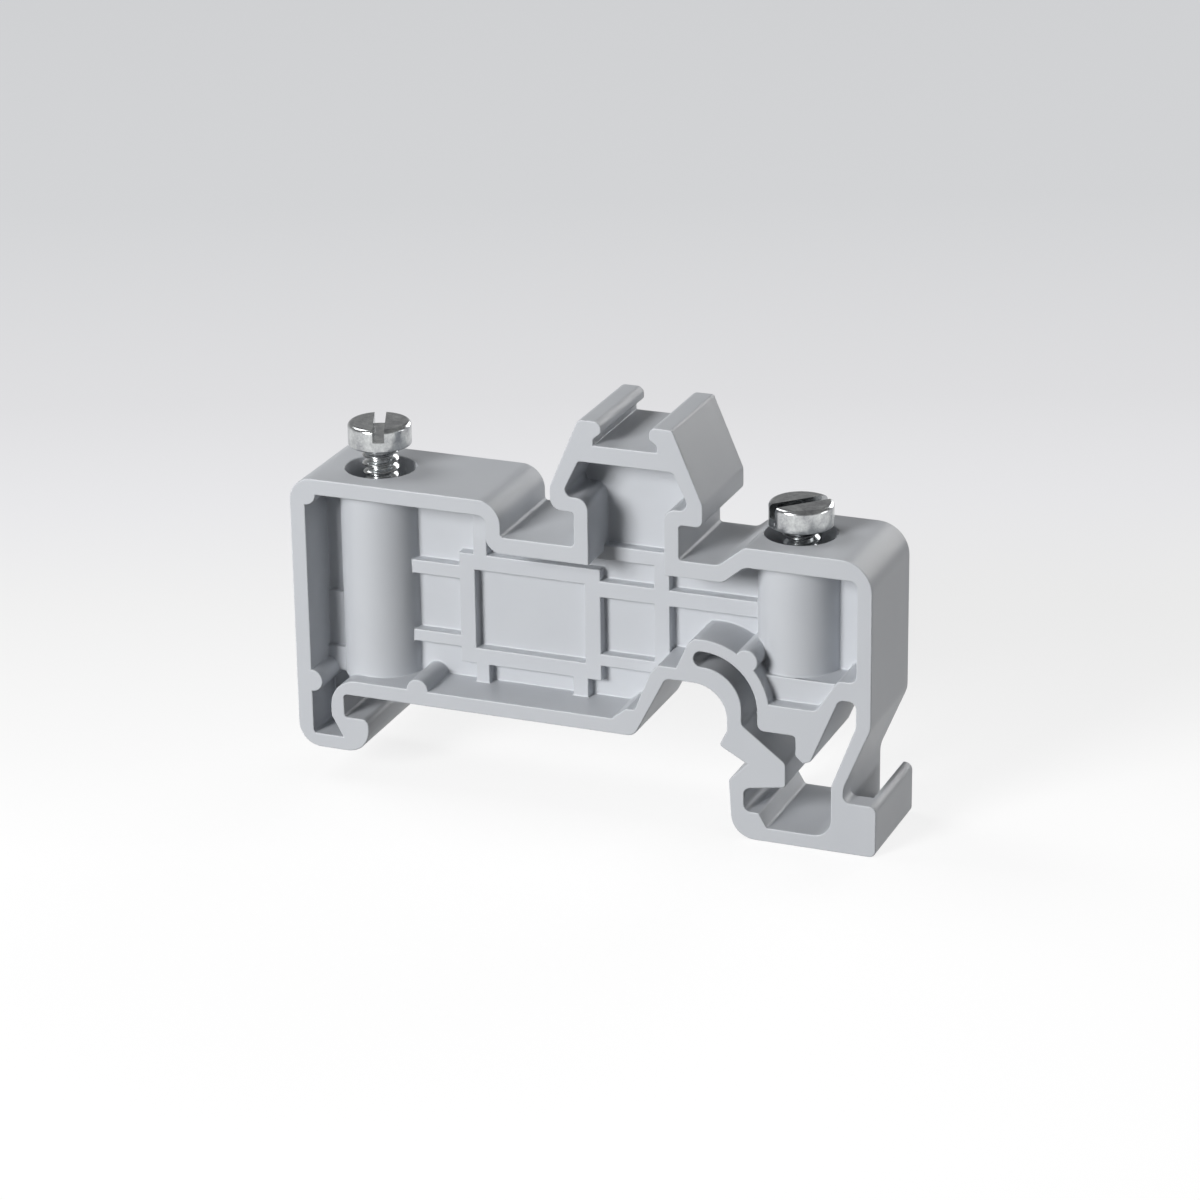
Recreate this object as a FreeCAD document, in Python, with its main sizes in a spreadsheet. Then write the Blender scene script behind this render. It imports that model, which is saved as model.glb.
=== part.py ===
import FreeCAD, Part
import math
import os
import Sketcher

# DIN rail end stop: a moulded clamp that closes a row of rail-mounted terminals.
# X runs across the rail, Y along the rail (the depth of the moulding), Z up from the rail.
# X = 0 is the middle of the 35 mm rail, Z = 0 the seat that rests on its lips, Y = 0 mid-depth.
# The ribbed side is the front, towards -Y. A setback is a distance behind the front face.

DRIVING_SIZES = [
    ("rail_half", 17.5, "half the width of the 35 mm top-hat rail"),
    ("rail_play", 0.1, "free play beside each rail lip"),
    ("depth", 9.5, "depth of the moulding along the rail"),
    ("side_wall", 1.35, "wall at the left side and over the left shoulder"),
    ("end_wall", 1.25, "wall at the right side"),
    ("panel", 1.3, "thickness of the inner panel"),
    ("panel_setback", 5.3, "front of the panel behind the front face"),
    ("rib_setback", 3.4, "front of the ribs behind the front face"),
    ("left_side", 21.8, "left side from the rail's middle"),
    ("right_side", 27.9, "right side from the rail's middle"),
    ("left_height", 18.55, "left shoulder above the seat"),
    ("right_height", 17.35, "right shoulder above the seat"),
    ("right_top_wall", 1.7, "wall over the right shoulder"),
    ("corner_round", 2.0, "round of the large outer corners"),
    ("right_round", 2.6, "round of the right shoulder's outer corner and of the leg's foot"),
    ("wall_round", 1.4, "round inside the room where the left valley's wall bends"),
    ("small_round", 0.3, "round of the small corners"),
    ("soft_round", 0.6, "round of the middling corners"),
    ("broad_round", 1.0, "round of the wider corners"),
    ("valley_left", 3.25, "end of the left shoulder, left of the rail's middle"),
    ("valley_height", 15.6, "floor of the two valleys above the seat"),
    ("valley_wall", 1.45, "wall under the valleys"),
    ("ramp_start", 15.2, "foot of the ramp to the right shoulder"),
    ("ramp_inside", 15.6, "foot of the ramp inside its wall"),
    ("ramp_end", 17.4, "top of the ramp to the right shoulder"),
    ("carrier_middle", 7.5, "middle of the marker carrier"),
    ("carrier_height", 26.3, "top of the marker carrier above the seat"),
    ("crown_half", 3.95, "half the width of the carrier's top"),
    ("skirt_half", 6.45, "half the width of the carrier's head"),
    ("skirt_height", 18.5, "underside of the carrier's head"),
    ("skirt_bend", 20.4, "foot of the slant of the carrier's sides"),
    ("head_wall", 1.0, "wall of the carrier's head at its widest"),
    ("head_lean", 1.5, "how much narrower the hollow of the head is at its top, each side"),
    ("head_floor", 1.25, "floor of the hollow beside the neck"),
    ("neck_half", 4.45, "half the width of the carrier's neck"),
    ("neck_wall", 1.25, "wall of the carrier's neck"),
    ("channel_height", 24.3, "floor of the marker channel above the seat"),
    ("channel_half", 2.65, "half the width of the marker channel"),
    ("channel_bar", 1.5, "bar under the marker channel"),
    ("mouth_half", 2.0, "half the width of the channel's mouth"),
    ("lip_bottom", 25.35, "underside of the channel's lips at the mouth"),
    ("lip_root", 24.8, "underside of the channel's lips at the side"),
    ("ledge_top", 14.7, "top of the ledge across the neck"),
    ("ledge_bottom", 13.45, "underside of the ledge across the neck"),
    ("seat_wall", 1.3, "beam that rests on the rail"),
    ("seat_end", 8.0, "right end of the seat"),
    ("hook_depth", 5.0, "underside of the left hook below the seat"),
    ("hook_gap", 2.0, "height of the slot for the left rail lip"),
    ("hook_reach", 2.15, "reach of the hook under the left rail lip"),
    ("hook_wall", 1.2, "wall round the slot and under the left room"),
    ("slot_round", 2.4, "round outside the slot for the rail lip"),
    ("brace_foot", 8.05, "left foot of the slanted brace"),
    ("brace_top", 9.45, "left top of the slanted brace"),
    ("brace_bend", 5.7, "bend of the brace's left face above the seat"),
    ("brace_step", 6.45, "step over the brace above the seat"),
    ("step_start", 10.1, "start of the step over the brace"),
    ("brace_pad", 1.0, "height of the pad at the brace's foot"),
    ("brace_pad_top", 7.3, "left end of that pad's top"),
    ("brace_pad_foot", 6.1, "left foot of that pad"),
    ("step_end", 11.65, "end of the step over the brace"),
    ("crest_start", 12.6, "start of the arch's crest"),
    ("crest_height", 8.6, "start of the arch's crest above the seat"),
    ("arch_left", 10.75, "left end of the arch's underside"),
    ("arch_height", 5.35, "underside of the arch above the seat"),
    ("arch_round", 2.8, "round under the arch"),
    ("arm_inside", 15.9, "inner face of the sprung arm"),
    ("bend_x", 13.85, "centre of the arch's bend"),
    ("bend_z", 3.5, "centre of the arch's bend above the seat"),
    ("gap_inner", 3.3, "inner radius of the curved gap"),
    ("gap_side", 0.1, "how far the curved gap's straight foot reaches above its centre"),
    ("gap_outer", 4.6, "outer radius of the curved gap"),
    ("bend_outer", 5.65, "outer radius of the arch's wall"),
    ("bend_sweep", 97.0, "sweep of the arch's bend in degrees from level"),
    ("gap_sweep", 91.0, "sweep of the curved gap in degrees from level"),
    ("block_top", 6.4, "top of the block under the right boss"),
    ("block_setback", 1.2, "front of that block behind the front face"),
    ("block_edge", 4.4, "lower edge of the recess in front of that block"),
    ("block_underside", 2.0, "underside of that block, over the wedge"),
    ("shelf_edge", 7.2, "top of the shelf in front of that block"),
    ("shelf_left", 25.15, "left end of the shelf's top"),
    ("recess_right", 23.35, "right end of the recess at its lower edge"),
    ("leg_bend", 3.4, "bend of the outer leg above the seat"),
    ("leg_foot", 25.68, "outer face of the leg at the foot"),
    ("leg_end", 1.9, "end of the leg's slant below the seat"),
    ("leg_wall", 1.05, "wall of the outer leg"),
    ("foot_end", 28.4, "right end of the foot"),
    ("foot_top", 3.1, "top of the foot's end below the seat"),
    ("foot_depth", 7.5, "underside of the foot below the seat"),
    ("foot_wall", 1.2, "floor of the foot"),
    ("hollow_round", 1.5, "round in the right corner of the foot's hollow"),
    ("step_height", 1.2, "step at the left of the foot's hollow"),
    ("step_left", 18.6, "top of that step"),
    ("step_right", 19.3, "foot of that step"),
    ("jaw_reach", 1.55, "reach of the lower jaw under the right rail lip"),
    ("jaw_depth", 2.6, "nose of the lower jaw below the seat"),
    ("jaw_wall", 1.3, "wall behind the lower jaw"),
    ("heel_shift", 0.3, "heel of the foot, right of the jaw's nose"),
    ("wedge_nose", 15.25, "nose of the upper jaw"),
    ("wedge_lift", 0.3, "nose of the upper jaw above the seat"),
    ("wedge_root", 1.6, "root of the wedge above the seat"),
    ("wedge_end", 20.85, "right end of the wedge"),
    ("wedge_low", 2.55, "underside of the wedge at its end, below the seat"),
    ("wedge_heel", 3.15, "underside of the wedge at the jaw, below the seat"),
    ("slope_low", 0.5, "lower end of the wedge's slope below the seat"),
    ("slope_high", 2.3, "upper end of the wedge's slope above the seat"),
    ("finger_left", 21.65, "left face of the stop finger"),
    ("finger_low", 0.3, "foot of the finger's left face above the seat"),
    ("finger_tip", 22.3, "tip of the stop finger"),
    ("tip_depth", 0.3, "tip of the stop finger below the seat"),
    ("finger_right", 22.95, "foot of the finger's right face"),
    ("hole_left", 25.25, "left end of the hole between finger and leg"),
    ("hole_top", 5.55, "top of the hole between finger and leg"),
    ("tab_wall", 0.8, "release tab"),
    ("tab_web", 1.8, "wall that closes the tool slot at the front"),
    ("rib", 1.35, "width of the upright ribs"),
    ("strut", 1.2, "width of the slimmer ribs"),
    ("strut_left", -7.15, "left side of the left struts"),
    ("strut_right", 2.75, "right side of the right strut"),
    ("left_rib_z", 10.15, "upper left rib above the seat"),
    ("low_rib_z", 4.2, "lower ribs above the seat"),
    ("low_rib", 1.05, "height of the lower ribs"),
    ("right_rib", 1.4, "height of the upper right ribs"),
    ("frame_left", 8.45, "left of the label frame, left of the rail's middle"),
    ("frame_right", 3.9, "right of the label frame"),
    ("frame_bottom", 2.9, "underside of the label frame above the seat"),
    ("frame_top", 12.5, "top of the label frame above the seat"),
    ("frame_bar", 1.4, "bars of the label frame"),
    ("post_left", 8.5, "upright rib right of the second pocket"),
    ("boss_radius", 3.4, "outside of the screw bosses"),
    ("left_screw", 15.75, "left screw's axis, left of the rail's middle"),
    ("right_screw", 20.45, "right screw's axis, right of the rail's middle"),
    ("sink_radius", 2.93, "hole for a screw's head"),
    ("sink_depth", 4.3, "depth of the hole for a screw's head"),
    ("pad_radius", 0.95, "round ejector pads on the walls"),
    ("beam_pad_x", 10.95, "ejector pad on the beam, left of the rail's middle"),
    ("wall_pad_z", 0.85, "ejector pad on the left wall above the seat"),
    ("arch_pad_x", 17.55, "ejector pad on the arch"),
    ("arch_pad_z", 7.8, "ejector pad on the arch above the seat"),
    ("infill_high_setback", 4.05, "front of the infill beside the left boss behind the front face"),
    ("infill_setback", 3.68, "front of its middle part behind the front face"),
    ("infill_top", 7.55, "top of its middle part above the seat"),
    ("infill_low_setback", 3.28, "front of its lower part behind the front face"),
    ("infill_low_top", 2.8, "top of its lower part above the seat"),
    ("thread_radius", 1.5, "outside of the M3 thread"),
    ("thread_play", 0.05, "clearance round the thread"),
    ("point_radius", 1.0, "dog point of a screw"),
    ("point_length", 2.4, "length of the dog point"),
    ("point_play", 0.1, "clearance round the dog point"),
    ("guide_length", 0.95, "length of the right screw's guide for its point"),
    ("point_bevel", 0.25, "bevel at a screw's tip"),
    ("head_radius", 2.6, "cheese head of a screw"),
    ("head_height", 1.9, "height of a screw's head"),
    ("head_edge", 0.35, "round of the head's top edge"),
    ("slot_width", 0.95, "driver slot"),
    ("slot_depth", 1.05, "depth of the driver slot"),
    ("left_length", 20.0, "left screw under its head"),
    ("right_length", 16.0, "right screw under its head"),
    ("left_proud", 2.0, "underside of the left screw's head above its shoulder"),
    ("left_turn", 112.0, "turn of the left screw's slot in degrees from X"),
    ("right_proud", 0.7, "underside of the right screw's head above its shoulder"),
    ("right_turn", 46.0, "turn of the right screw's slot in degrees from X"),
]


class Size:
    """A length that knows both its value and the formula that gives it in the sheet."""

    def __init__(self, value, formula):
        self.value = value
        self.formula = formula

    def _with(self, other, sign, value):
        return Size(value, "(%s %s %s)" % (self.formula, sign, other.formula))

    def __add__(self, other):
        return self._with(other, "+", self.value + other.value)

    def __sub__(self, other):
        return self._with(other, "-", self.value - other.value)

    def __mul__(self, other):
        return self._with(other, "*", self.value * other.value)

    def __truediv__(self, other):
        return self._with(other, "/", self.value / other.value)

    def __neg__(self):
        return Size(-self.value, "(-%s)" % self.formula)


class Sizes:
    """The driving sizes by name, as the sheet holds them."""

    def __init__(self, sheet, rows):
        for row, (name, value, note) in enumerate(rows, start=1):
            sheet.set("A%d" % row, note)
            sheet.set("B%d" % row, str(value))
            sheet.setAlias("B%d" % row, name)
            setattr(self, name, Size(value, "%s.%s" % (sheet.Name, name)))


doc = FreeCAD.newDocument("EndStop")
sheet = doc.addObject("Spreadsheet::Sheet", "Sizes")
S = Sizes(sheet, DRIVING_SIZES)
doc.recompute()

ZERO = Size(0.0, "0")
TWO = Size(2.0, "2")
HALF_DEPTH = S.depth / TWO
NEAR = 1e-4


def sketch_on(body, name, role, offset):
    """An empty sketch on a plane of the body's origin, moved along the plane's normal."""
    plane = next(feature for feature in body.Origin.OriginFeatures if feature.Role == role)
    sketch = body.newObject("Sketcher::SketchObject", name)
    sketch.AttachmentSupport = [(plane, "")]
    sketch.MapMode = "FlatFace"
    sketch.AttachmentOffset = FreeCAD.Placement(FreeCAD.Vector(0, 0, offset.value), FreeCAD.Rotation())
    sketch.setExpression(".AttachmentOffset.Base.z", offset.formula)
    return sketch


def face_sketch(body, name, setback):
    """A sketch parallel to the front face, this far behind it."""
    return sketch_on(body, name, "XZ_Plane", HALF_DEPTH - setback)


def level_sketch(body, name, height):
    """A level sketch at this height."""
    return sketch_on(body, name, "XY_Plane", height)


def bind(sketch, wanted):
    """Adds constraints given as (kind, place, size), whose values follow the sheet."""
    first = sketch.ConstraintCount
    sketch.addConstraint([Sketcher.Constraint(kind, *place, size.value) for kind, place, size in wanted])
    for index, (kind, place, size) in enumerate(wanted, start=first):
        sketch.setExpression("Constraints[%d]" % index, size.formula)


def pinned(curve, end, point):
    """The two constraints that hold one end of a curve at a point."""
    place = (-1, 1, curve, end)
    return [("DistanceX", place, point[0]), ("DistanceY", place, point[1])]


def vector(point):
    return FreeCAD.Vector(point[0].value, point[1].value, 0)


def draw_loop(sketch, points):
    """A closed outline of straight lines through the points."""
    first = sketch.GeometryCount
    following = points[1:] + points[:1]
    lines = [Part.LineSegment(vector(here), vector(there)) for here, there in zip(points, following)]
    sketch.addGeometry(lines, False)
    last = first + len(points) - 1
    joints = [Sketcher.Constraint("Coincident", line, 2, line + 1, 1) for line in range(first, last)]
    joints.append(Sketcher.Constraint("Coincident", last, 2, first, 1))
    sketch.addConstraint(joints)
    bind(sketch, [row for step, point in enumerate(points) for row in pinned(first + step, 1, point)])


def draw_circle(sketch, centre, radius):
    circle = Part.Circle(vector(centre), FreeCAD.Vector(0, 0, 1), radius.value)
    index = sketch.addGeometry(circle, False)
    bind(sketch, pinned(index, 3, centre) + [("Radius", (index,), radius)])


def polar(centre, radius, angle):
    """The point at this radius round a centre, the angle in degrees from +X towards +Z."""
    across = Size(math.cos(math.radians(angle.value)), "cos(%s)" % angle.formula)
    up = Size(math.sin(math.radians(angle.value)), "sin(%s)" % angle.formula)
    return (centre[0] + radius * across, centre[1] + radius * up)


def draw_ring_sector(sketch, centre, inner, outer, sweep):
    """A piece of a ring, from level with its centre on the right up and round by the sweep."""
    for radius in (outer, inner):
        circle = Part.Circle(vector(centre), FreeCAD.Vector(0, 0, 1), radius.value)
        index = sketch.addGeometry(Part.ArcOfCircle(circle, 0, math.radians(sweep.value)), False)
        start = [("DistanceY", (-1, 1, index, 1), centre[1])]
        end = [("DistanceX", (-1, 1, index, 2), polar(centre, radius, sweep)[0])]
        bind(sketch, pinned(index, 3, centre) + [("Radius", (index,), radius)] + start + end)
    for end, angle in ((1, ZERO), (2, sweep)):
        tips = [vector(polar(centre, radius, angle)) for radius in (outer, inner)]
        line = sketch.addGeometry(Part.LineSegment(*tips), False)
        sketch.addConstraint(Sketcher.Constraint("Coincident", 0, end, line, 1))
        sketch.addConstraint(Sketcher.Constraint("Coincident", 1, end, line, 2))


def pad(body, sketch, length):
    """Material on a sketch, along its normal."""
    feature = body.newObject("PartDesign::Pad", sketch.Name + "_pad")
    feature.Profile = sketch
    feature.setExpression("Length", length.formula)
    doc.recompute()


def pocket(body, sketch, length):
    """A cut from a sketch against its normal, checked by the volume that it takes."""
    before = body.Shape.Volume
    feature = body.newObject("PartDesign::Pocket", sketch.Name + "_cut")
    feature.Profile = sketch
    feature.setExpression("Length", length.formula)
    doc.recompute()
    if feature.Shape.Volume >= before:
        raise RuntimeError("%s removes nothing" % feature.Name)


def add_block(body, name, loops, front, back):
    """Material inside the outer loop and outside the rest, between two setbacks."""
    sketch = face_sketch(body, name, back)
    for points in loops:
        draw_loop(sketch, points)
    pad(body, sketch, back - front)


def cut_block(body, name, points, front, back):
    """A cut of this outline between two setbacks."""
    sketch = face_sketch(body, name, front)
    draw_loop(sketch, points)
    pocket(body, sketch, back - front)


def upright(edge):
    """The place (x, z) of a straight edge that runs along Y, or None for any other edge."""
    ends = [vertex.Point for vertex in edge.Vertexes]
    if len(ends) != 2 or edge.Curve.TypeId != "Part::GeomLine":
        return None
    if math.hypot(ends[0].x - ends[1].x, ends[0].z - ends[1].z) > NEAR:
        return None
    return (ends[0].x, ends[0].z)


def round_corners(body, name, radius, points, sides=1):
    """Rounds the edges along Y at these places, of which each has one on every side."""
    base = body.Tip
    edges = []
    for number, edge in enumerate(base.Shape.Edges, start=1):
        place = upright(edge)
        if place and any(math.dist(place, (x.value, z.value)) < NEAR for x, z in points):
            edges.append("Edge%d" % number)
    if len(edges) < len(points) * sides:
        raise RuntimeError("%s finds %d edges for %d places" % (name, len(edges), len(points)))
    feature = body.newObject("PartDesign::Fillet", name)
    feature.Base = (base, edges)
    feature.setExpression("Radius", radius.formula)
    doc.recompute()
    if not feature.isValid():
        raise RuntimeError("%s can't be rounded" % name)


def mirrored(points):
    """The points of the carrier's left half, followed by their mirror images."""
    across = S.carrier_middle * TWO
    return points + [(across - x, z) for x, z in reversed(points)]


def rectangle(left, right, bottom, top):
    return [(left, bottom), (left, top), (right, top), (right, bottom)]


# The places that several outlines share.
ROOM_LEFT = S.side_wall - S.left_side
ROOM_RIGHT = S.right_side - S.end_wall
ROOM_TOP = S.left_height - S.side_wall
ROOM_BOTTOM = S.hook_wall - S.hook_depth
VALLEY_UNDER = S.valley_height - S.valley_wall
RIGHT_UNDER = S.right_height - S.right_top_wall
SLOT_END = -(S.rail_half + S.rail_play)
SLOT_OUTSIDE = SLOT_END - S.hook_wall
NOTCH = S.rail_half + S.rail_play
JAW_NOSE = NOTCH - S.jaw_reach
FOOT_FLOOR = S.foot_wall - S.foot_depth
PANEL_MIDDLE = S.panel_setback + S.panel / TWO
LEFT_AXIS = -S.left_screw
FRAME_LEFT = -S.frame_left
BEND = (S.bend_x, S.bend_z)


def carrier_outline():
    """Left half of the marker carrier's outside, from the neck's foot to the channel's floor."""
    middle = S.carrier_middle
    return [
        (middle - S.neck_half, S.valley_height),
        (middle - S.neck_half, S.skirt_height),
        (middle - S.skirt_half, S.skirt_height),
        (middle - S.skirt_half, S.skirt_bend),
        (middle - S.crown_half, S.carrier_height),
        (middle - S.mouth_half, S.carrier_height),
        (middle - S.mouth_half, S.lip_bottom),
        (middle - S.channel_half, S.lip_root),
        (middle - S.channel_half, S.channel_height),
    ]


def carrier_hollow():
    """Left half of the hollow inside the carrier, from the neck's foot to the channel's bar."""
    middle = S.carrier_middle
    ceiling = S.channel_height - S.channel_bar
    inside = S.skirt_half - S.head_wall
    inside_neck = middle - S.neck_half + S.neck_wall
    return [
        (inside_neck, VALLEY_UNDER),
        (inside_neck, S.skirt_height + S.head_floor),
        (middle - inside, S.skirt_height + S.head_floor),
        (middle - inside + S.head_lean, ceiling),
    ]


def add_profile(body):
    """The whole outline as one block of the full depth, with its corners rounded."""
    left_foot = (-S.left_side, -S.hook_depth)
    left_top = (-S.left_side, S.left_height)
    shoulder_end = (-S.valley_left, S.left_height)
    valley_in = (-S.valley_left, S.valley_height)
    carrier = mirrored(carrier_outline())
    ramp_foot = (S.ramp_start, S.valley_height)
    ramp_top = (S.ramp_end, S.right_height)
    right_top = (S.right_side, S.right_height)
    leg_bend = (S.right_side, S.leg_bend)
    leg_end = (S.leg_foot, -S.leg_end)
    foot_inner = (S.leg_foot, -S.foot_top)
    foot_outer = (S.foot_end, -S.foot_top)
    foot_corner = (S.foot_end, -S.foot_depth)
    foot_heel = (JAW_NOSE + S.heel_shift, -S.foot_depth)
    jaw_nose = (JAW_NOSE, -S.jaw_depth)
    notch = (NOTCH, -S.hook_gap / TWO)
    wedge_nose = (S.wedge_nose, S.wedge_lift)
    arm_foot = (S.arm_inside, S.wedge_root)
    arch_right = (S.arm_inside, S.arch_height)
    arch_left = (S.arch_left, S.arch_height)
    seat_end = (S.seat_end, ZERO)
    slot_top = (SLOT_END, ZERO)
    slot_bottom = (SLOT_END, -S.hook_gap)
    hook_nose = (SLOT_END + S.hook_reach, -S.hook_gap)
    hook_heel = (SLOT_END + S.hook_reach, -S.hook_depth)
    outline = [left_foot, left_top, shoulder_end, valley_in] + carrier
    outline += [ramp_foot, ramp_top, right_top, leg_bend, leg_end, foot_inner, foot_outer]
    outline += [foot_corner, foot_heel, jaw_nose, notch, wedge_nose, arm_foot, arch_right]
    outline += [arch_left, seat_end, slot_top, slot_bottom, hook_nose, hook_heel]
    add_block(body, "profile", [outline], ZERO, S.depth)
    outer = [left_foot, left_top, shoulder_end, leg_bend, foot_heel, hook_heel]
    small = [carrier[corner] for corner in (0, 1, 6, 11, 13, 16, 17)]
    soft = [carrier[corner] for corner in (4, 5, 12, 15)] + [hook_nose]
    broad = [carrier[corner] for corner in (2, 3, 14)]
    rounds = [
        ("outer_corners", S.corner_round, outer),
        ("right_corners", S.right_round, [right_top, leg_end]),
        ("broad_corners", S.broad_round, broad + [ramp_foot, ramp_top, seat_end]),
        ("soft_corners", S.soft_round, soft + [foot_inner, foot_outer, foot_corner, arm_foot, arch_left]),
        ("small_corners", S.small_round, small + [valley_in, jaw_nose, wedge_nose, slot_top, slot_bottom]),
        ("arch_corner", S.arch_round, [arch_right]),
    ]
    for name, radius, points in rounds:
        round_corners(body, name, radius, points)


def cut_rooms(body):
    """Hollows both sides of the moulding between the outer walls and the inner panel."""
    carrier = mirrored(carrier_hollow())
    left_low = (ROOM_LEFT, ROOM_BOTTOM)
    shoulder_in = (-S.valley_left - S.side_wall, ROOM_TOP)
    valley_end = (-S.valley_left - S.side_wall, VALLEY_UNDER)
    ramp_under = (S.ramp_inside, VALLEY_UNDER)
    ramp_over = (S.ramp_end, RIGHT_UNDER)
    right_top = (ROOM_RIGHT, RIGHT_UNDER)
    right_low = (ROOM_RIGHT, S.shelf_edge)
    shelf = (S.shelf_left, S.shelf_edge)
    recess = (S.recess_right, S.block_edge)
    # Two points inside the arch's wall, which is put back afterwards.
    arch_low = (S.bend_x + S.gap_outer + S.small_round, S.block_edge)
    arch_high = (S.bend_x, S.bend_z + S.gap_outer + S.small_round)
    crest_end = polar(BEND, S.bend_outer, S.bend_sweep)
    crest = (S.crest_start, S.crest_height)
    step_end = (S.step_end, S.brace_step)
    step_start = (S.step_start, S.brace_step)
    brace_bend = (S.brace_top, S.brace_bend)
    brace_foot = (S.brace_foot, S.seat_wall + S.brace_pad)
    brace_pad_top = (S.brace_pad_top, S.seat_wall + S.brace_pad)
    brace_pad_foot = (S.brace_pad_foot, S.seat_wall)
    slot_corner = (SLOT_OUTSIDE, S.seat_wall)
    slot_low = (SLOT_OUTSIDE, -S.hook_gap)
    hook_in = (SLOT_OUTSIDE + S.brace_pad, ROOM_BOTTOM)
    outline = [left_low, (ROOM_LEFT, ROOM_TOP), shoulder_in, valley_end] + carrier
    outline += [ramp_under, ramp_over, right_top, right_low, shelf, recess, arch_low]
    outline += [arch_high, crest_end, crest, step_end, step_start, brace_bend, brace_foot]
    outline += [brace_pad_top, brace_pad_foot, slot_corner, slot_low, hook_in]
    cut_block(body, "front_room", outline, ZERO, S.panel_setback)
    cut_block(body, "back_room", outline, S.panel_setback + S.panel, S.depth)
    soft = [shoulder_in, carrier[2], carrier[5], right_top, right_low, shelf, recess, crest, slot_low]
    small = [left_low, carrier[3], carrier[4], step_start, brace_foot, brace_pad_foot]
    rounds = [
        ("room_valley", S.wall_round, [valley_end]),
        ("room_broad", S.broad_round, [carrier[1], carrier[6], ramp_under, ramp_over]),
        ("room_slot", S.slot_round, [slot_corner]),
        ("room_soft", S.soft_round, soft),
        ("room_small", S.small_round, small),
    ]
    for name, radius, points in rounds:
        round_corners(body, name, radius, points, sides=2)


def add_arch(body):
    """The bent wall over the sprung arm, and the round pads that ejector pins leave on the walls."""
    sketch = face_sketch(body, "arch_wall", S.depth)
    draw_ring_sector(sketch, BEND, S.gap_inner, S.bend_outer, S.bend_sweep)
    pad(body, sketch, S.depth)
    discs = face_sketch(body, "ejector_pads", S.depth)
    draw_circle(discs, (ROOM_LEFT, ROOM_TOP), S.pad_radius)
    draw_circle(discs, (ROOM_LEFT, S.wall_pad_z), S.pad_radius)
    draw_circle(discs, (-S.beam_pad_x, S.seat_wall), S.pad_radius)
    draw_circle(discs, (S.arch_pad_x, S.arch_pad_z), S.pad_radius)
    pad(body, discs, S.depth)


def add_boss(body, name, axis, bottom, top):
    """A round boss on a screw's axis."""
    sketch = level_sketch(body, name, bottom)
    draw_circle(sketch, (axis, ZERO), S.boss_radius)
    pad(body, sketch, top - bottom)


def add_bosses(body):
    """The two screw bosses, the block under the right one and the infill beside the left one."""
    middle = (S.block_edge + S.block_underside) / TWO
    block = rectangle(S.bend_x + S.gap_outer, ROOM_RIGHT + S.end_wall / TWO, middle, S.block_top)
    add_block(body, "screw_block", [block], S.block_setback, S.depth - S.block_setback)
    add_boss(body, "left_boss", LEFT_AXIS, S.seat_wall / TWO, S.left_height - S.side_wall / TWO)
    add_boss(body, "right_boss", S.right_screw, middle, S.right_height - S.right_top_wall / TWO)
    in_top_wall = S.left_height - S.side_wall / TWO
    infills = [
        ("infill_high", S.infill_high_setback, S.infill_top, in_top_wall),
        ("infill", S.infill_setback, S.infill_low_top, S.infill_top),
        ("infill_low", S.infill_low_setback, S.seat_wall / TWO, S.infill_low_top),
    ]
    for name, setback, bottom, top in infills:
        points = rectangle(S.side_wall / TWO - S.left_side, LEFT_AXIS, bottom, top)
        add_block(body, name, [points], setback, PANEL_MIDDLE)


def add_ribs(body):
    """The ribs and the label frame that stand on the inner panel."""
    outer = rectangle(FRAME_LEFT, S.frame_right, S.frame_bottom, S.frame_top)
    inner = rectangle(FRAME_LEFT + S.frame_bar, S.frame_right - S.frame_bar,
                      S.frame_bottom + S.frame_bar, S.frame_top - S.frame_bar)
    in_ledge = (S.ledge_bottom + S.ledge_top) / TWO
    post = rectangle(S.post_left, S.post_left + S.rib, S.low_rib_z, in_ledge)
    add_block(body, "label_frame", [outer, inner, post], S.rib_setback, PANEL_MIDDLE)
    in_left_boss = LEFT_AXIS + S.sink_radius
    in_right_boss = S.right_screw - S.sink_radius
    in_frame_left = FRAME_LEFT + S.frame_bar / TWO
    in_frame_right = S.frame_right - S.frame_bar / TWO
    in_frame_bottom = S.frame_bottom + S.frame_bar / TWO
    in_frame_top = S.frame_top - S.frame_bar / TWO
    in_post = S.post_left + S.rib / TWO
    in_neck = S.neck_wall / TWO
    neck_left = S.carrier_middle - S.neck_half
    neck_right = S.carrier_middle + S.neck_half
    in_beam = S.seat_wall / TWO
    ribs = [
        rectangle(in_left_boss, in_frame_left, S.left_rib_z, S.left_rib_z + S.strut),
        rectangle(in_left_boss, in_frame_left, S.low_rib_z, S.low_rib_z + S.low_rib),
        rectangle(S.strut_left, S.strut_left + S.strut, in_frame_top, ROOM_TOP + S.side_wall / TWO),
        rectangle(S.strut_left, S.strut_left + S.strut, in_beam, in_frame_bottom),
        rectangle(S.strut_right - S.rib, S.strut_right, in_beam, in_frame_bottom),
        rectangle(in_frame_right, in_right_boss, S.left_rib_z, S.left_rib_z + S.right_rib),
        rectangle(in_frame_right, in_post, S.low_rib_z, S.low_rib_z + S.low_rib),
        rectangle(neck_left + in_neck, neck_right - in_neck, S.ledge_bottom, S.ledge_top),
    ]
    add_block(body, "ribs", ribs, S.rib_setback, PANEL_MIDDLE)


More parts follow.
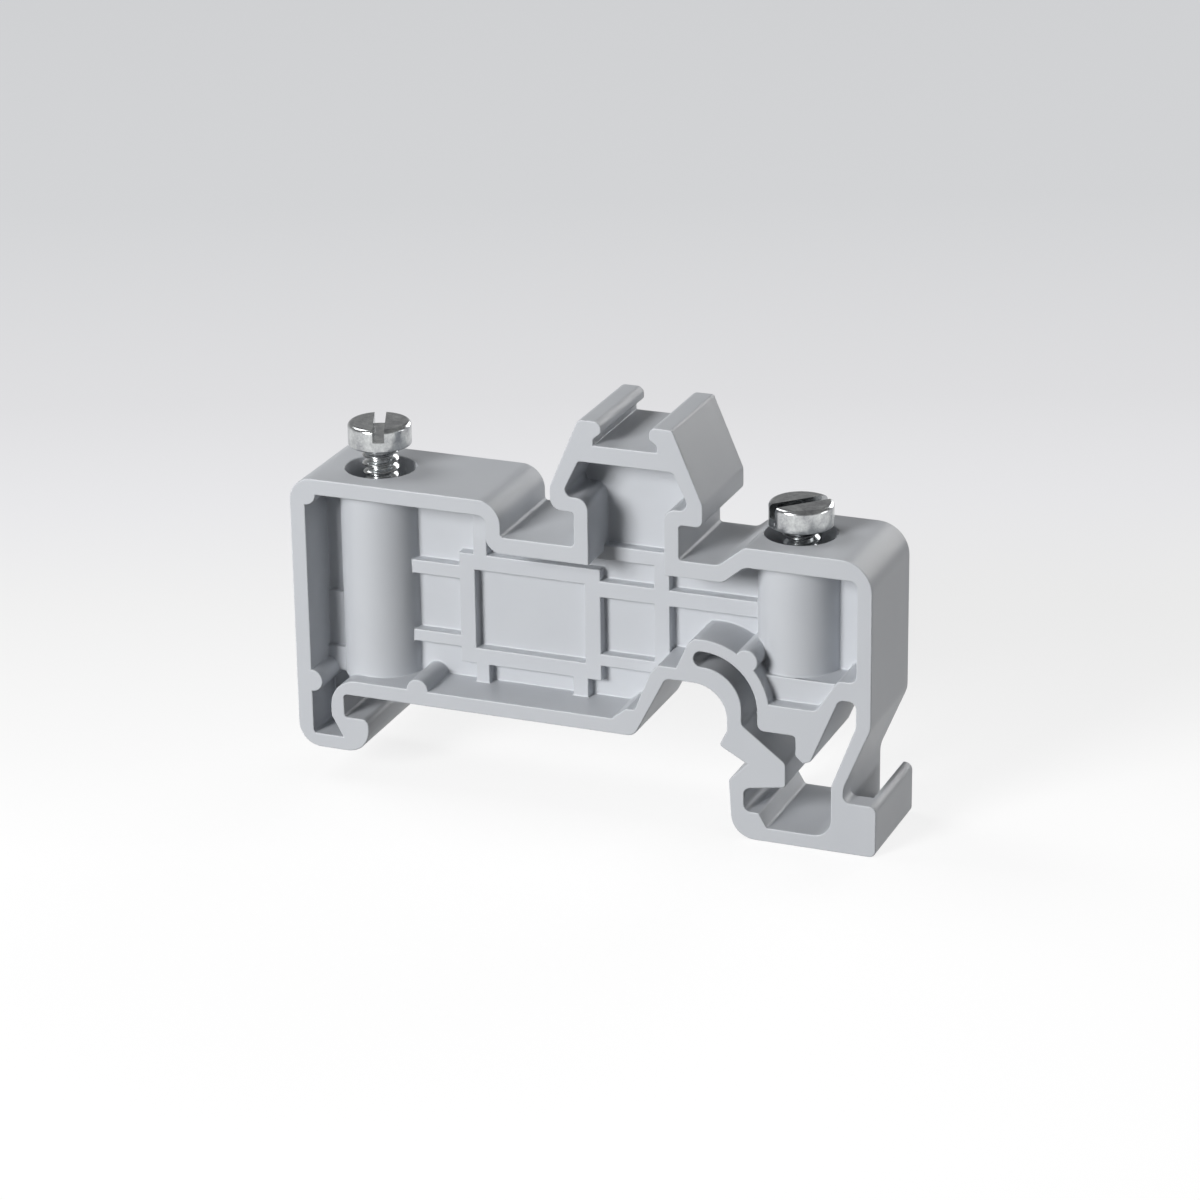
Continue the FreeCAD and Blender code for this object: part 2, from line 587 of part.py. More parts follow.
def cut_gaps(body):
    """The curved gap behind the arm, the hollow of the foot and the slot behind the tab."""
    sketch = face_sketch(body, "curved_gap", ZERO)
    draw_ring_sector(sketch, BEND, S.gap_inner, S.gap_outer, S.gap_sweep)
    pocket(body, sketch, S.depth)
    cap = face_sketch(body, "gap_end", ZERO)
    draw_circle(cap, polar(BEND, (S.gap_inner + S.gap_outer) / TWO, S.gap_sweep),
                (S.gap_outer - S.gap_inner) / TWO)
    pocket(body, cap, S.depth)
    arm_outside = S.bend_x + S.gap_inner
    gap_right = S.bend_x + S.gap_outer
    block_corner = (gap_right, S.block_underside)
    finger_in = (S.finger_left, S.block_underside)
    finger_low = (S.finger_left, S.finger_low)
    finger_tip = (S.finger_tip, -S.tip_depth)
    finger_right = (S.finger_right, ZERO)
    hole_left = (S.hole_left, S.hole_top)
    hole_right = (ROOM_RIGHT, S.hole_top)
    leg_bend = (ROOM_RIGHT, S.leg_bend)
    leg_low = (S.leg_foot - S.leg_wall, -S.leg_end)
    foot_right = (S.leg_foot - S.leg_wall, FOOT_FLOOR)
    step_low = (S.step_right, FOOT_FLOOR)
    step_high = (S.step_left, FOOT_FLOOR + S.step_height)
    jaw_low = (JAW_NOSE + S.jaw_wall, FOOT_FLOOR + S.step_height)
    jaw_high = (JAW_NOSE + S.jaw_wall, -S.wedge_heel)
    wedge_low = (S.wedge_end, -S.wedge_low)
    slope_low = (S.wedge_end, -S.slope_low)
    slope_high = (arm_outside, S.slope_high)
    outline = [(arm_outside, S.bend_z + S.gap_side), (gap_right, S.bend_z + S.gap_side), block_corner]
    outline += [finger_in, finger_low, finger_tip, finger_right, hole_left, hole_right, leg_bend]
    outline += [leg_low, foot_right, step_low, step_high, jaw_low, jaw_high]
    outline += [wedge_low, slope_low, slope_high]
    cut_block(body, "foot_hollow", outline, ZERO, S.depth)
    rounds = [
        ("hollow_wide", S.hollow_round, [leg_bend, leg_low, foot_right]),
        ("hollow_soft", S.soft_round, [block_corner, hole_left, hole_right, jaw_low, jaw_high, slope_low]
         + [slope_high]),
        ("hollow_small", S.small_round, [finger_in, finger_tip, wedge_low, step_low, step_high]),
    ]
    for name, radius, points in rounds:
        round_corners(body, name, radius, points)
    tab_inside = S.foot_end - S.tab_wall
    slot = rectangle(S.leg_foot, tab_inside, FOOT_FLOOR, -S.foot_top + S.soft_round)
    cut_block(body, "tool_slot", slot, S.tab_web, S.depth)


def drill(body, name, axis, radius, top, bottom):
    """A round hole on a screw's axis between two heights."""
    sketch = level_sketch(body, name, top)
    draw_circle(sketch, (axis, ZERO), radius)
    pocket(body, sketch, top - bottom)


def drill_bosses(body):
    """The sunk holes for the heads, the threaded bores and the guide for the right point."""
    thread_bore = S.thread_radius + S.thread_play
    guide_top = S.block_underside + S.guide_length
    drill(body, "left_sink", LEFT_AXIS, S.sink_radius, S.left_height, S.left_height - S.sink_depth)
    drill(body, "left_bore", LEFT_AXIS, thread_bore, S.left_height, -S.small_round)
    drill(body, "right_sink", S.right_screw, S.sink_radius, S.right_height, S.right_height - S.sink_depth)
    drill(body, "right_bore", S.right_screw, thread_bore, S.right_height, guide_top)
    drill(body, "right_guide", S.right_screw, S.point_radius + S.point_play, guide_top,
          S.block_underside - S.small_round)


def make_moulding():
    """The moulded body of the end stop."""
    body = doc.addObject("PartDesign::Body", "Moulding")
    body.Label = "end_stop_moulding"
    add_profile(body)
    cut_rooms(body)
    add_arch(body)
    add_bosses(body)
    add_ribs(body)
    cut_gaps(body)
    drill_bosses(body)
    return body


def edge_numbers(shape, wanted):
    """Names of the circular edges that the test picks."""
    names = []
    for number, edge in enumerate(shape.Edges, start=1):
        if edge.Curve.TypeId == "Part::GeomCircle" and wanted(edge):
            names.append("Edge%d" % number)
    return names


def make_screw(label, axis, head_bottom, length, turn):
    """A slotted cheese-head screw with a dog point, its head resting on local Z = 0."""
    body = doc.addObject("PartDesign::Body", label.title().replace("_", ""))
    body.Label = label
    centre = (ZERO, ZERO)
    head = level_sketch(body, label + "_head", ZERO)
    draw_circle(head, centre, S.head_radius)
    pad(body, head, S.head_height)
    base = body.Tip
    feature = body.newObject("PartDesign::Fillet", label + "_edge")
    feature.Base = (base, edge_numbers(base.Shape, lambda edge: edge.CenterOfMass.z > 0))
    feature.setExpression("Radius", S.head_edge.formula)
    doc.recompute()
    shank = level_sketch(body, label + "_shank", S.point_length - length)
    draw_circle(shank, centre, S.thread_radius)
    pad(body, shank, length - S.point_length)
    point = level_sketch(body, label + "_point", -length)
    draw_circle(point, centre, S.point_radius)
    pad(body, point, S.point_length)
    base = body.Tip
    low = (S.point_length / TWO - length).value
    feature = body.newObject("PartDesign::Chamfer", label + "_bevel")
    feature.Base = (base, edge_numbers(base.Shape, lambda edge: edge.CenterOfMass.z < low))
    feature.setExpression("Size", S.point_bevel.formula)
    doc.recompute()
    slot = level_sketch(body, label + "_slot", S.head_height)
    reach = S.head_radius + S.head_edge
    draw_loop(slot, rectangle(-reach, reach, -S.slot_width / TWO, S.slot_width / TWO))
    pocket(body, slot, S.slot_depth)
    stand = FreeCAD.Vector(axis.value, 0, head_bottom.value)
    body.Placement = FreeCAD.Placement(stand, FreeCAD.Rotation(FreeCAD.Vector(0, 0, 1), turn.value))
    body.setExpression(".Placement.Base.x", axis.formula)
    body.setExpression(".Placement.Base.z", head_bottom.formula)
    body.setExpression(".Placement.Rotation.Angle", turn.formula)
    doc.recompute()
    return body


pieces = [
    make_moulding(),
    make_screw("clamp_screw_left", LEFT_AXIS, S.left_height + S.left_proud, S.left_length, S.left_turn),
    make_screw("clamp_screw_right", S.right_screw, S.right_height + S.right_proud, S.right_length,
               S.right_turn),
]
doc.recompute()

for item in doc.Objects:
    if "Invalid" in item.State or "Error" in item.State:
        raise RuntimeError("%s is %s" % (item.Label, item.State))

os.makedirs("parts", exist_ok=True)
for piece in pieces:
    if piece.Shape.isNull() or not piece.Shape.isValid():
        raise RuntimeError("%s has no valid shape" % piece.Label)
    piece.Shape.exportStep("parts/%s.step" % piece.Label)
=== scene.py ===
"""DIN rail end stop: softened moulding, threaded screws, their finishes and a plain studio."""

import logging
import math
from dataclasses import dataclass
from enum import Enum
from typing import Any, Optional, Sequence, Union

import bmesh
import bpy
import numpy as np
from mathutils import Matrix, Vector


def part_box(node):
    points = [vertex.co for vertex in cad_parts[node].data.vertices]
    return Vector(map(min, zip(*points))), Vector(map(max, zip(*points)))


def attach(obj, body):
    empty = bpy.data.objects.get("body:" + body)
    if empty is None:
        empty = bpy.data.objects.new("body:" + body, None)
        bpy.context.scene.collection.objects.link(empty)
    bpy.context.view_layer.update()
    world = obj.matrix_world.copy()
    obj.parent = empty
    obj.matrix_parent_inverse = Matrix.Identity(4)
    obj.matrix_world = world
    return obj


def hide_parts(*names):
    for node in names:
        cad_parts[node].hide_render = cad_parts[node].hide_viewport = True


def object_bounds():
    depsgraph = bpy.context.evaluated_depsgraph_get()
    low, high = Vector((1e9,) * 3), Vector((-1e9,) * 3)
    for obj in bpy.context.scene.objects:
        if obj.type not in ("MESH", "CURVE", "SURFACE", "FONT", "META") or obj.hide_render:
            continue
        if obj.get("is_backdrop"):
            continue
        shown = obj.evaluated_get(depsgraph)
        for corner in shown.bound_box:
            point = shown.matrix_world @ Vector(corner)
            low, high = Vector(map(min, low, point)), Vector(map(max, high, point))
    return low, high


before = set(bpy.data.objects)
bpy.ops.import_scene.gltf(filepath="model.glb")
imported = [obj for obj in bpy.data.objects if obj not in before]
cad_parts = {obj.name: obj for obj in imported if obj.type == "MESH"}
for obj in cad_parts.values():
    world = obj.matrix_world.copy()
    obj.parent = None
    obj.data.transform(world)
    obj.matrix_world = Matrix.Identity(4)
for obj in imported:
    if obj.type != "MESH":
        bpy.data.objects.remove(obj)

log = logging.getLogger("end_stop")

MM = 0.001
MERGE_DISTANCE = 1e-7
Colour = tuple[float, float, float]


def lengths(low: Vector, high: Vector) -> list[list[float]]:
    """The two corners of a box as plain lists."""
    return [list(low), list(high)]


def linear(red: int, green: int, blue: int) -> Colour:
    """A display colour, 0 to 255, as the linear colour that a shader takes.

    Args:
        red: Red as a screen shows it.
        green: Green as a screen shows it.
        blue: Blue as a screen shows it.

    Returns:
        The linear colour.
    """
    shown = np.array([red, green, blue]) / 255.0
    spread = np.where(shown <= 0.04045, shown / 12.92, ((shown + 0.055) / 1.055) ** 2.4)
    return tuple(float(part) for part in spread)


class Part(Enum):
    """The pieces of the object, by the names of their solids."""

    MOULDING = "end_stop_moulding"
    LEFT_SCREW = "clamp_screw_left"
    RIGHT_SCREW = "clamp_screw_right"


class Value:
    """A node's output, with arithmetic that adds Math nodes to its tree."""

    def __init__(self, shader: "Shader", socket: bpy.types.NodeSocket) -> None:
        """Keeps the socket and the shader that it belongs to."""
        self.shader = shader
        self.socket = socket

    def _math(self, operation: str, *operands: Any) -> "Value":
        """A Math node of this operation on the operands, in their order."""
        return self.shader.node("ShaderNodeMath", {"operation": operation}, dict(enumerate(operands)))

    def __add__(self, other: Any) -> "Value":
        """self + other."""
        return self._math("ADD", self, other)

    __radd__ = __add__

    def __mul__(self, other: Any) -> "Value":
        """self * other."""
        return self._math("MULTIPLY", self, other)

    __rmul__ = __mul__

    def __sub__(self, other: Any) -> "Value":
        """self - other."""
        return self._math("SUBTRACT", self, other)

    def __rsub__(self, other: Any) -> "Value":
        """other - self."""
        return self._math("SUBTRACT", other, self)

    def __truediv__(self, other: Any) -> "Value":
        """self / other."""
        return self._math("DIVIDE", self, other)

    def __rtruediv__(self, other: Any) -> "Value":
        """other / self."""
        return self._math("DIVIDE", other, self)


class Shader:
    """The node tree of a material or of the sky, built from Python expressions."""

    def __init__(self, owner: Union[bpy.types.Material, bpy.types.World]) -> None:
        """Empties the owner's tree.

        Args:
            owner: The material or the world that the tree belongs to.
        """
        self.owner = owner
        owner.use_nodes = True
        self.tree = owner.node_tree
        self.tree.nodes.clear()

    def node(
        self,
        kind: str,
        settings: Optional[dict[str, Any]] = None,
        inputs: Optional[dict[Union[int, str], Any]] = None,
        output: Union[int, str] = 0,
    ) -> Value:
        """Adds a node of any kind.

        Args:
            kind: The node's type.
            settings: Its properties, set first. "stops" are a colour ramp's stops.
            inputs: Values or links by socket.
            output: The socket that is returned.

        Returns:
            The chosen output.
        """
        made = self.tree.nodes.new(kind)
        for name, setting in (settings or {}).items():
            if name == "stops":
                self._stops(made.color_ramp, setting)
            else:
                setattr(made, name, setting)
        for place, given in (inputs or {}).items():
            if isinstance(given, Value):
                self.tree.links.new(given.socket, made.inputs[place])
            else:
                made.inputs[place].default_value = given
        return Value(self, made.outputs[output] if made.outputs else None)

    def _stops(self, ramp: bpy.types.ColorRamp, stops: Sequence[tuple[float, Colour]]) -> None:
        """Gives a colour ramp these stops.

        Args:
            ramp: The ramp.
            stops: Places from 0 to 1, each with its colour.
        """
        while len(ramp.elements) < len(stops):
            ramp.elements.new(0.5)
        for element, (place, colour) in zip(ramp.elements, stops):
            element.position = place
            element.color = (*colour, 1.0)

    def millimetres(self, centre: Sequence[float] = (0.0, 0.0, 0.0), turn: float = 0.0) -> Value:
        """Object coordinates in millimetres.

        Args:
            centre: The point, in metres, that becomes the origin.
            turn: Turn about Z, in radians.

        Returns:
            The coordinates as a vector.
        """
        place = self.node("ShaderNodeTexCoord", output="Object")
        settings = {"vector_type": "TEXTURE"}
        inputs = {0: place, "Location": tuple(centre), "Rotation": (0.0, 0.0, turn), "Scale": (MM, MM, MM)}
        return self.node("ShaderNodeMapping", settings, inputs)

    def noise(self, place: Value, per_mm: float, detail: float = 2.0, roughness: float = 0.5) -> Value:
        """Smooth noise.

        Args:
            place: Coordinates in millimetres.
            per_mm: How many swings there are in a millimetre.
            detail: How many finer layers are added.
            roughness: The strength of the finer layers.

        Returns:
            The noise, 0 to 1.
        """
        inputs = {"Vector": place, "Scale": per_mm, "Detail": detail, "Roughness": roughness}
        return self.node("ShaderNodeTexNoise", None, inputs, "Fac")

    def stretched(self, place: Value, scale: Sequence[float]) -> Value:
        """The coordinates times this scale, axis by axis."""
        return self.node("ShaderNodeVectorMath", {"operation": "MULTIPLY"}, {0: place, 1: tuple(scale)})

    def mixed(self, share: Value, first: Colour, second: Colour) -> Value:
        """The first colour where the share is 0 and the second where it is 1."""
        inputs = {0: share, 6: (*first, 1.0), 7: (*second, 1.0)}
        return self.node("ShaderNodeMix", {"data_type": "RGBA"}, inputs, 2)

    def bump(self, height: Value, depth_mm: float, strength: float) -> Value:
        """A Bump node.

        Args:
            height: The height, 0 to 1.
            depth_mm: What a height of 1 stands for, in millimetres.
            strength: How much of the bump is kept.

        Returns:
            The bumped normal.
        """
        inputs = {"Height": height, "Distance": depth_mm * MM, "Strength": strength}
        return self.node("ShaderNodeBump", None, inputs)

    def finish(self, **sockets: Any) -> bpy.types.Material:
        """Ends the tree in one Principled shader.

        Args:
            sockets: Values or links by socket, with underscores for spaces.

        Returns:
            The material.
        """
        inputs = {name.replace("_", " "): given for name, given in sockets.items()}
        surface = self.node("ShaderNodeBsdfPrincipled", None, inputs)
        self.node("ShaderNodeOutputMaterial", None, {"Surface": surface})
        return self.owner


@dataclass(frozen=True)
class MouldedPolyamide:
    """Light grey polyamide with the fine satin grain of a spark-eroded mould."""

    colour: Colour = linear(196, 199, 203)
    darker: Colour = linear(188, 191, 196)
    roughness: float = 0.42
    grain_per_mm: float = 9.0
    cloud_per_mm: float = 0.22
    flow_stretch: tuple[float, float, float] = (0.35, 2.2, 0.5)
    cloud_share: float = 0.7
    flow_share: float = 0.3
    flow_unevenness: float = 0.12
    grain_unevenness: float = 0.1
    grain_depth_mm: float = 0.012
    grain_strength: float = 0.35

    def material(self) -> bpy.types.Material:
        """The material of the moulding.

        Returns:
            The material: clouds of slightly darker grey, an uneven satin and a fine grain.
        """
        shader = Shader(bpy.data.materials.new("grey_polyamide"))
        place = shader.millimetres()
        clouds = shader.noise(place, self.cloud_per_mm, detail=3.0, roughness=0.55)
        flow = shader.noise(shader.stretched(place, self.flow_stretch), self.cloud_per_mm)
        fine = shader.noise(place, self.grain_per_mm, roughness=0.6)
        mix = shader.mixed(clouds * self.cloud_share + flow * self.flow_share, self.darker, self.colour)
        rough = self.roughness + (flow - 0.5) * self.flow_unevenness
        rough += (fine - 0.5) * self.grain_unevenness
        return shader.finish(
            Base_Color=mix,
            Roughness=rough,
            Normal=shader.bump(fine, self.grain_depth_mm, self.grain_strength),
        )


@dataclass(frozen=True)
class PlatedSteel:
    """Bright zinc-plated steel with turned rings on the head and mottled stains."""

    centre: tuple[float, float, float]
    colour: Colour = linear(222, 225, 224)
    stain: Colour = linear(138, 139, 144)
    roughness: float = 0.2
    stain_contrast: float = 2.2
    rings_per_mm: float = 7.0
    stains_per_mm: float = 0.9
    grain_per_mm: float = 6.0
    stain_share: float = 0.75
    grain_share: float = 0.25
    stain_unevenness: float = 0.16
    grain_unevenness: float = 0.1
    ring_height: float = 0.7
    grain_height: float = 0.3
    mark_depth_mm: float = 0.02
    mark_strength: float = 0.3

    def material(self, name: str) -> bpy.types.Material:
        """The material of one screw.

        Args:
            name: The material's name.

        Returns:
            The material: turned rings round the screw's axis, stains and a mottled shine.
        """
        shader = Shader(bpy.data.materials.new(name))
        place = shader.millimetres(self.centre)
        flat = shader.stretched(place, (1.0, 1.0, 0.0))
        radius = shader.node("ShaderNodeVectorMath", {"operation": "LENGTH"}, {0: flat}, "Value")
        along = shader.node("ShaderNodeCombineXYZ", None, {0: radius, 2: radius * 0.5})
        rings = shader.noise(along, self.rings_per_mm, roughness=0.7)
        stains = shader.noise(place, self.stains_per_mm, detail=3.0, roughness=0.6)
        grain = shader.noise(place, self.grain_per_mm, roughness=0.6)
        clear = (stains * self.stain_share + grain * self.grain_share - 0.5) * self.stain_contrast + 0.5
        mix = shader.mixed(clear, self.stain, self.colour)
        rough = self.roughness + (stains - 0.5) * self.stain_unevenness
        rough += (grain - 0.5) * self.grain_unevenness
        height = rings * self.ring_height + grain * self.grain_height
        return shader.finish(
            Base_Color=mix,
            Metallic=1.0,
            Roughness=rough,
            Normal=shader.bump(height, self.mark_depth_mm, self.mark_strength),
        )


def mesh_object(name: str, vertices: np.ndarray, faces: Sequence[Sequence[int]]) -> bpy.types.Object:
    """A new object from arrays, with doubles merged and its faces turned outwards.

    Args:
        name: The object's name.
        vertices: Points in metres, one in a row.
        faces: Corner numbers of each face.

    Returns:
        The object, linked to the scene.
    """
    mesh = bpy.data.meshes.new(name)
    mesh.from_pydata(vertices, [], faces)
    work = bmesh.new()
    work.from_mesh(mesh)
    bmesh.ops.remove_doubles(work, verts=work.verts, dist=MERGE_DISTANCE)
    bmesh.ops.dissolve_degenerate(work, edges=work.edges, dist=MERGE_DISTANCE)
    bmesh.ops.recalc_face_normals(work, faces=work.faces)
    work.to_mesh(mesh)
    work.free()
    made = bpy.data.objects.new(name, mesh)
    bpy.context.scene.collection.objects.link(made)
    return made


def smooth_to(piece: bpy.types.Object, degrees: float) -> None:
    """Shades a piece smooth, with edges that turn by more than this kept sharp.

    Args:
        piece: The piece.
        degrees: The angle between two faces from which their edge is sharp.
    """
    piece.data.shade_smooth()
    piece.data.set_sharp_from_angle(angle=math.radians(degrees))


@dataclass
class Moulding:
    """The one-piece moulding: a softened copy of its solid."""

    node: str = Part.MOULDING.value
    body: str = "moulding"
    edge_round: float = 0.11 * MM
    flat_degrees: float = 0.6
    edge_degrees: float = 38.0
    panel_setback: float = 5.3 * MM
    panel_shown: float = 4.3 * MM
    boss_radius: float = 3.4 * MM
    near: float = 0.002 * MM

    def build(self) -> bpy.types.Object:
        """The piece with soft edges and its finish.

        Returns:
            The piece, which stands for the solid.
        """
        piece = self.softened()
        piece.data.materials.append(MouldedPolyamide().material())
        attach(piece, self.body)
        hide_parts(self.node)
        return piece

    def softened(self) -> bpy.types.Object:
        """A copy of the solid's mesh whose outer and inner edges have a small round.

        Triangles that share a point are joined and those of one plane made one face, so that a Bevel
        modifier can round every edge that turns by more than the edge angle.

        Returns:
            The copy, with its Bevel modifier.
        """
        work = bmesh.new()
        work.from_mesh(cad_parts[self.node].data)
        bmesh.ops.remove_doubles(work, verts=work.verts, dist=MERGE_DISTANCE)
        raised = self.with_raised_panel(np.array([corner.co[:] for corner in work.verts]))
        for corner, place in zip(work.verts, raised):
            corner.co = place
        bmesh.ops.remove_doubles(work, verts=work.verts, dist=MERGE_DISTANCE)
        bmesh.ops.dissolve_degenerate(work, edges=work.edges, dist=MERGE_DISTANCE)
        bmesh.ops.dissolve_limit(
            work,
            angle_limit=math.radians(self.flat_degrees),
            use_dissolve_boundaries=False,
            verts=work.verts,
            edges=work.edges,
        )
        points = np.array([corner.co[:] for corner in work.verts])
        faces = [[corner.index for corner in face.verts] for face in work.faces]
        work.free()
        piece = mesh_object("moulding", points, faces)
        bevel = piece.modifiers.new("edge_round", "BEVEL")
        bevel.width = self.edge_round
        bevel.segments = 2
        bevel.limit_method = "ANGLE"
        bevel.angle_limit = math.radians(self.edge_degrees)
        bevel.use_clamp_overlap = False
        bevel.loop_slide = False
        bevel.harden_normals = True
        bevel.miter_outer = "MITER_SHARP"
        smooth_to(piece, self.edge_degrees)
        return piece

    def with_raised_panel(self, points: np.ndarray) -> np.ndarray:
        """The points with the front of the inner panel nearer to the front face, as deep as it looks.

        A point of the panel's front plane moves straight forward to the new plane. So does one of a boss's
        round wall between both planes, which also moves across to where the wall meets the new plane: a
        wall of radius r meets a plane y beside its axis at sqrt(r^2 - y^2) from it.

        Args:
            points: The mesh's points in metres, one in a row.

        Returns:
            The moved points.
        """
        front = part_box(self.node)[0][1]
        old_plane, new_plane = front + self.panel_setback, front + self.panel_shown
        moved = points.copy()
        across, depth = points[:, 0], points[:, 1]
        raised = np.abs(depth - old_plane) < self.near
        for screw in (Part.LEFT_SCREW, Part.RIGHT_SCREW):
            low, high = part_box(screw.value)
            axis = (low[0] + high[0]) / 2.0
            beside = across - axis
            on_wall = np.abs(np.hypot(beside, depth) - self.boss_radius) < self.near
            on_wall &= (depth > new_plane) & (depth < old_plane + self.near)
            half_width = math.sqrt(self.boss_radius**2 - new_plane**2)
            moved[on_wall, 0] = axis + np.sign(beside[on_wall]) * half_width
            raised |= on_wall
        moved[raised, 1] = new_plane
        return moved


@dataclass
class ClampScrew:
    """A slotted cheese-head screw with a real thread, on the axis of its solid."""

    node: str
    body: str
    slot_degrees: float
    head_height: float = 1.9 * MM
    edge_round: float = 0.35 * MM
    under_round: float = 0.12 * MM
    slot_width: float = 0.95 * MM
    slot_depth: float = 1.05 * MM
    thread_radius: float = 1.5 * MM
    thread_depth: float = 0.36 * MM
    pitch: float = 0.72 * MM
    flank_gain: float = 1.35
    crest_flat: float = 0.18
    run_out: float = 0.5 * MM
    point_radius: float = 1.0 * MM
    point_length: float = 2.4 * MM
    point_bevel: float = 0.25 * MM
    edge_degrees: float = 40.0
    head_sections: int = 56
    slot_sections: int = 5
    top_steps: int = 19
    wall_steps: int = 5
    under_steps: int = 5
    under_share: float = 0.5
    around: int = 48
    rows_per_pitch: int = 10

    @property
    def head_radius(self) -> float:
        """The head's radius: half the solid's width."""
        low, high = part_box(self.node)
        return (high[0] - low[0]) / 2.0

    @property
    def length(self) -> float:
        """The shank's length: the solid's height less its head."""
        low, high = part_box(self.node)
        return high[2] - low[2] - self.head_height

    def build(self) -> bpy.types.Object:
        """The screw's head and shank as one piece, with its finish.

        Returns:
            The piece, which stands for the solid.
        """
        low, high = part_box(self.node)
        middle = (Vector(low) + Vector(high)) / 2.0
        seat = Vector((middle.x, middle.y, high[2] - self.head_height))
        head_points, head_faces = self.head()
        shank_points, shank_faces = self.shank()
        points = np.vstack([head_points, shank_points])
        faces = np.vstack([head_faces, shank_faces + len(head_points)])
        turned = points @ np.array(Matrix.Rotation(math.radians(self.slot_degrees), 3, "Z")).T
        piece = mesh_object(self.node.replace("clamp_", ""), turned + np.array(seat), faces.tolist())
        smooth_to(piece, self.edge_degrees)
        piece.data.materials.append(PlatedSteel(tuple(seat)).material("plated_" + self.body))
        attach(piece, self.body)
        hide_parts(self.node)
        return piece

    def head(self) -> tuple[np.ndarray, np.ndarray]:
        """The head with its slot, as closed sections laid side by side across the slot.

        A section at distance s from the slot's middle is half a chord long, sqrt(R^2 - s^2) each way. Its
        top drops by r - sqrt(r^2 - (p - R + r)^2) where its distance p from the axis is within the round r
        of the rim R, and within the slot it lies at the slot's floor. The sections at the slot's sides come
        twice. The wall goes straight down from there, and the underside tucks in by a small round.

        Returns:
            The points in metres, and the faces' corner numbers.
        """
        rim = self.head_radius
        half_slot = self.slot_width / 2.0
        spread = -rim * np.cos(np.linspace(0.0, math.pi, self.head_sections + 1))
        outside = spread[np.abs(spread) > half_slot]
        inside = np.linspace(-half_slot, half_slot, self.slot_sections)
        left = outside[outside < 0]
        right = outside[outside > 0]
        across = np.concatenate([left, [-half_slot], inside, [half_slot], right])
        in_slot = np.zeros(len(across), dtype=bool)
        in_slot[len(left) + 1 : len(left) + 1 + len(inside)] = True
        chord = np.sqrt(np.maximum(rim**2 - across**2, 0.0))
        share = np.sin(np.linspace(0.0, math.pi / 2.0, self.top_steps))
        reach = chord[:, None] * share[None, :]
        from_axis = np.hypot(across[:, None], reach)
        into_round = np.clip(from_axis - (rim - self.edge_round), 0.0, self.edge_round)
        top = self.head_height - self.edge_round + np.sqrt(self.edge_round**2 - into_round**2)
        top = np.where(in_slot[:, None], self.head_height - self.slot_depth, top)
        down = np.linspace(1.0 / self.wall_steps, 1.0, self.wall_steps)
        wall = top[:, -1:] + (self.under_round - top[:, -1:]) * down[None, :]
        turn = np.linspace(0.0, math.pi / 2.0, self.under_steps)[1:]
        tucked = (rim - self.under_round * (1.0 - np.cos(turn))) / rim
        under_reach = chord[:, None] * np.concatenate([tucked, tucked[-1:] * self.under_share])[None, :]
        under_height = np.append(self.under_round * (1.0 - np.sin(turn)), 0.0)
        side_reach = np.hstack([reach, np.repeat(chord[:, None], self.wall_steps, axis=1), under_reach])
        side_height = np.hstack([top, wall, np.repeat(under_height[None, :], len(across), axis=0)])
        shrink = np.ones_like(side_reach)
        shrink[:, -self.under_steps :] = np.append(tucked, tucked[-1])[None, :]
        along = np.hstack([side_reach, -side_reach[:, ::-1]])
        heights = np.hstack([side_height, side_height[:, ::-1]])
        sideways = across[:, None] * np.hstack([shrink, shrink[:, ::-1]])
        grid = np.stack([along, sideways, heights], axis=-1)
        return grid.reshape(-1, 3), self.tube_faces(*grid.shape[:2])

    def shank(self) -> tuple[np.ndarray, np.ndarray]:
        """The dog point and the thread, as rings from the tip up into the head.

        A thread's ring climbs one pitch as it goes once round, and its radius falls from the crest by the
        depth times a clipped triangle wave of the phase height / pitch - angle / turn. Rings are cut off
        level at both ends. The crests grow out of the core over the run-out, from the point upwards.

        Returns:
            The points in metres, and the faces' corner numbers.
        """
        turns = np.linspace(0.0, 1.0, self.around + 1)
        foot = -self.length + self.point_length
        bottom = foot + self.point_bevel
        rows = int((-bottom + self.pitch) / self.pitch * self.rows_per_pitch) + 2 * self.rows_per_pitch
        climb = np.arange(rows)[:, None] / self.rows_per_pitch + turns[None, :] - 1.0
        height = np.clip(bottom + self.pitch * climb, bottom, self.run_out / 2.0)
        phase = height / self.pitch - turns[None, :]
        wave = np.clip(np.abs(2.0 * (phase % 1.0) - 1.0) * self.flank_gain - self.crest_flat, 0.0, 1.0)
        fade = np.clip((height - bottom) / self.run_out, 0.0, 1.0)
        radius = self.thread_radius - self.thread_depth * (1.0 - (1.0 - wave) * fade)
        tip_heights = np.array([-self.length, -self.length, -self.length + self.point_bevel, foot, foot])
        side = self.point_radius
        tip_radii = np.array([0.0, side - self.point_bevel, side, side, side])
        tip_height_rows = np.repeat(tip_heights[:, None], self.around + 1, axis=1)
        tip_radius_rows = np.repeat(tip_radii[:, None], self.around + 1, axis=1)
        cap_height = np.full((1, self.around + 1), self.run_out / 2.0)
        heights = np.vstack([tip_height_rows, height, cap_height])
        radii = np.vstack([tip_radius_rows, radius, np.zeros_like(cap_height)])
        angle = 2.0 * math.pi * turns[None, :]
        grid = np.stack([radii * np.cos(angle), radii * np.sin(angle), heights], axis=-1)
        return grid.reshape(-1, 3), self.strip_faces(*grid.shape[:2])

    @staticmethod
    def strip_faces(rows: int, columns: int) -> np.ndarray:
        """Faces of a grid of points that is open on all sides."""
        corner = np.arange(rows * columns).reshape(rows, columns)
        sides = [corner[:-1, :-1], corner[:-1, 1:], corner[1:, 1:], corner[1:, :-1]]
        return np.stack(sides, axis=-1).reshape(-1, 4)

